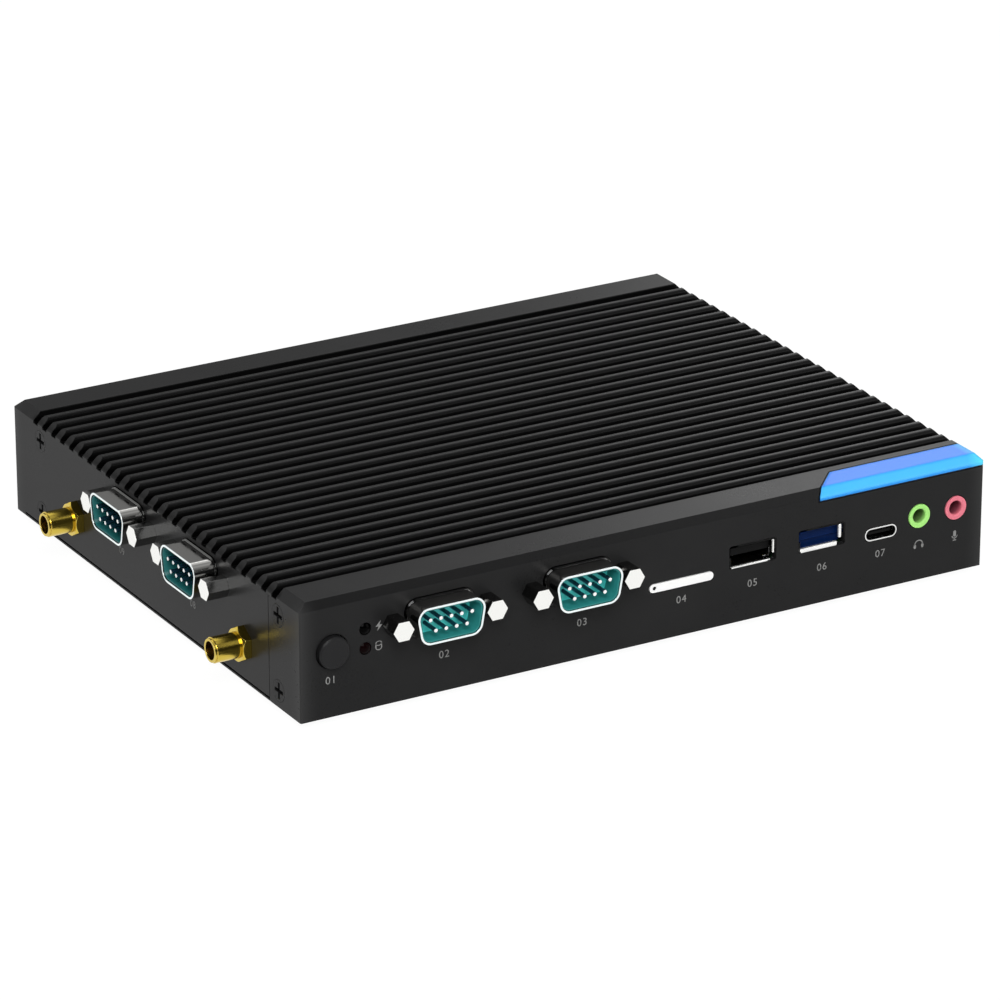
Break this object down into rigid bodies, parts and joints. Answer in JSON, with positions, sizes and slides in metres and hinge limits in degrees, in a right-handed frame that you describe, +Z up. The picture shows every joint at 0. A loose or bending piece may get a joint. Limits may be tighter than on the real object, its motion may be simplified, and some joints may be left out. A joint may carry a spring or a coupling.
{
  "type": "media player",
  "caption": "Fanless media player in a finned metal box, with serial, bus, card and sound sockets in front and more serial sockets and antenna jacks at the left.",
  "frame": {"origin": "centre of the bracket holes, on the underside of the bottom plate", "axes": "+X right along the front panel as seen from the front, +Y from the front panel to the rear, +Z up out of the fins"},
  "size_m": [0.199, 0.1583, 0.0318],
  "materials": {
    "housing": "satin dark grey coating",
    "accent": "satin blue coating",
    "sheet": "satin dark grey",
    "foot_rubber": "matte",
    "screw_steel": "black zinc",
    "button_black": "satin",
    "lens_dark": "gloss",
    "tray_white": "satin",
    "shell_chrome": "bright nickel plate",
    "shield_steel": "bright tin plate",
    "teal_plastic": "satin",
    "pin_metal": "bright",
    "post_nickel": "bright nickel plate",
    "tongue_black": "matte",
    "tongue_blue": "matte",
    "jack_green": "satin",
    "jack_pink": "satin",
    "gold_brass": "gold plate",
    "board_green": "satin solder mask",
    "chip_grey": "satin",
    "pad_grey": "matte",
    "bare_aluminium": "machined",
    "socket_black": "matte",
    "cell_steel": "satin"
  },
  "bodies": {
    "housing": {"top_cover": "housing", "front_bezel": "housing", "accent_insert": "accent", "bottom_cover": "sheet", "rear_panel": "sheet", "rubber_feet": "foot_rubber", "case_screws": "screw_steel", "button_switch": "socket_black", "led_power": "lens_dark", "led_drive": "lens_dark", "led_holder": "socket_black", "sim_socket": "shield_steel", "com1_shell": "shell_chrome", "com2_shell": "shell_chrome", "com3_shell": "shell_chrome", "com4_shell": "shell_chrome", "com1_insulator": "teal_plastic", "com2_insulator": "teal_plastic", "com3_insulator": "teal_plastic", "com4_insulator": "teal_plastic", "com1_pins": "pin_metal", "com2_pins": "pin_metal", "com3_pins": "pin_metal", "com4_pins": "pin_metal", "jack_posts": "post_nickel", "usb_a_shell": "shield_steel", "usb_a_tongue": "tongue_black", "usb_b_shell": "shield_steel", "usb_b_tongue": "tongue_blue", "usb_c_shell": "shield_steel", "usb_c_tongue": "tongue_black", "headphone_jack": "jack_green", "microphone_jack": "jack_pink", "antenna_jack_front": "gold_brass", "antenna_jack_rear": "gold_brass", "antenna_nuts": "gold_brass", "antenna_contacts": "gold_brass", "main_board": "board_green", "board_standoffs": "gold_brass", "board_screws": "screw_steel", "processor": "chip_grey", "thermal_pad": "pad_grey", "heat_block": "bare_aluminium", "memory_socket": "socket_black", "memory_module": "board_green", "storage_socket": "socket_black", "storage_module": "board_green", "radio_card": "board_green", "coin_cell": "cell_steel", "cell_holder": "socket_black", "power_inlet": "socket_black", "power_inlet_pin": "pin_metal", "video_1_shell": "shield_steel", "video_1_tongue": "tongue_black", "video_2_shell": "shield_steel", "video_2_tongue": "tongue_black", "network_socket": "shield_steel"},
    "button": {"power_button": "button_black"},
    "tray": {"sim_tray": "tray_white"}
  },
  "joints": [
    {"name": "power_button_press", "type": "slide", "parent": "housing", "child": "button", "axis": [0, 1, 0], "range_m": [0, 0.0008], "stiffness_N_per_m": 500},
    {"name": "sim_tray_slide", "type": "slide", "parent": "housing", "child": "tray", "axis": [0, -1, 0], "range_m": [0, 0.022]}
  ]
}
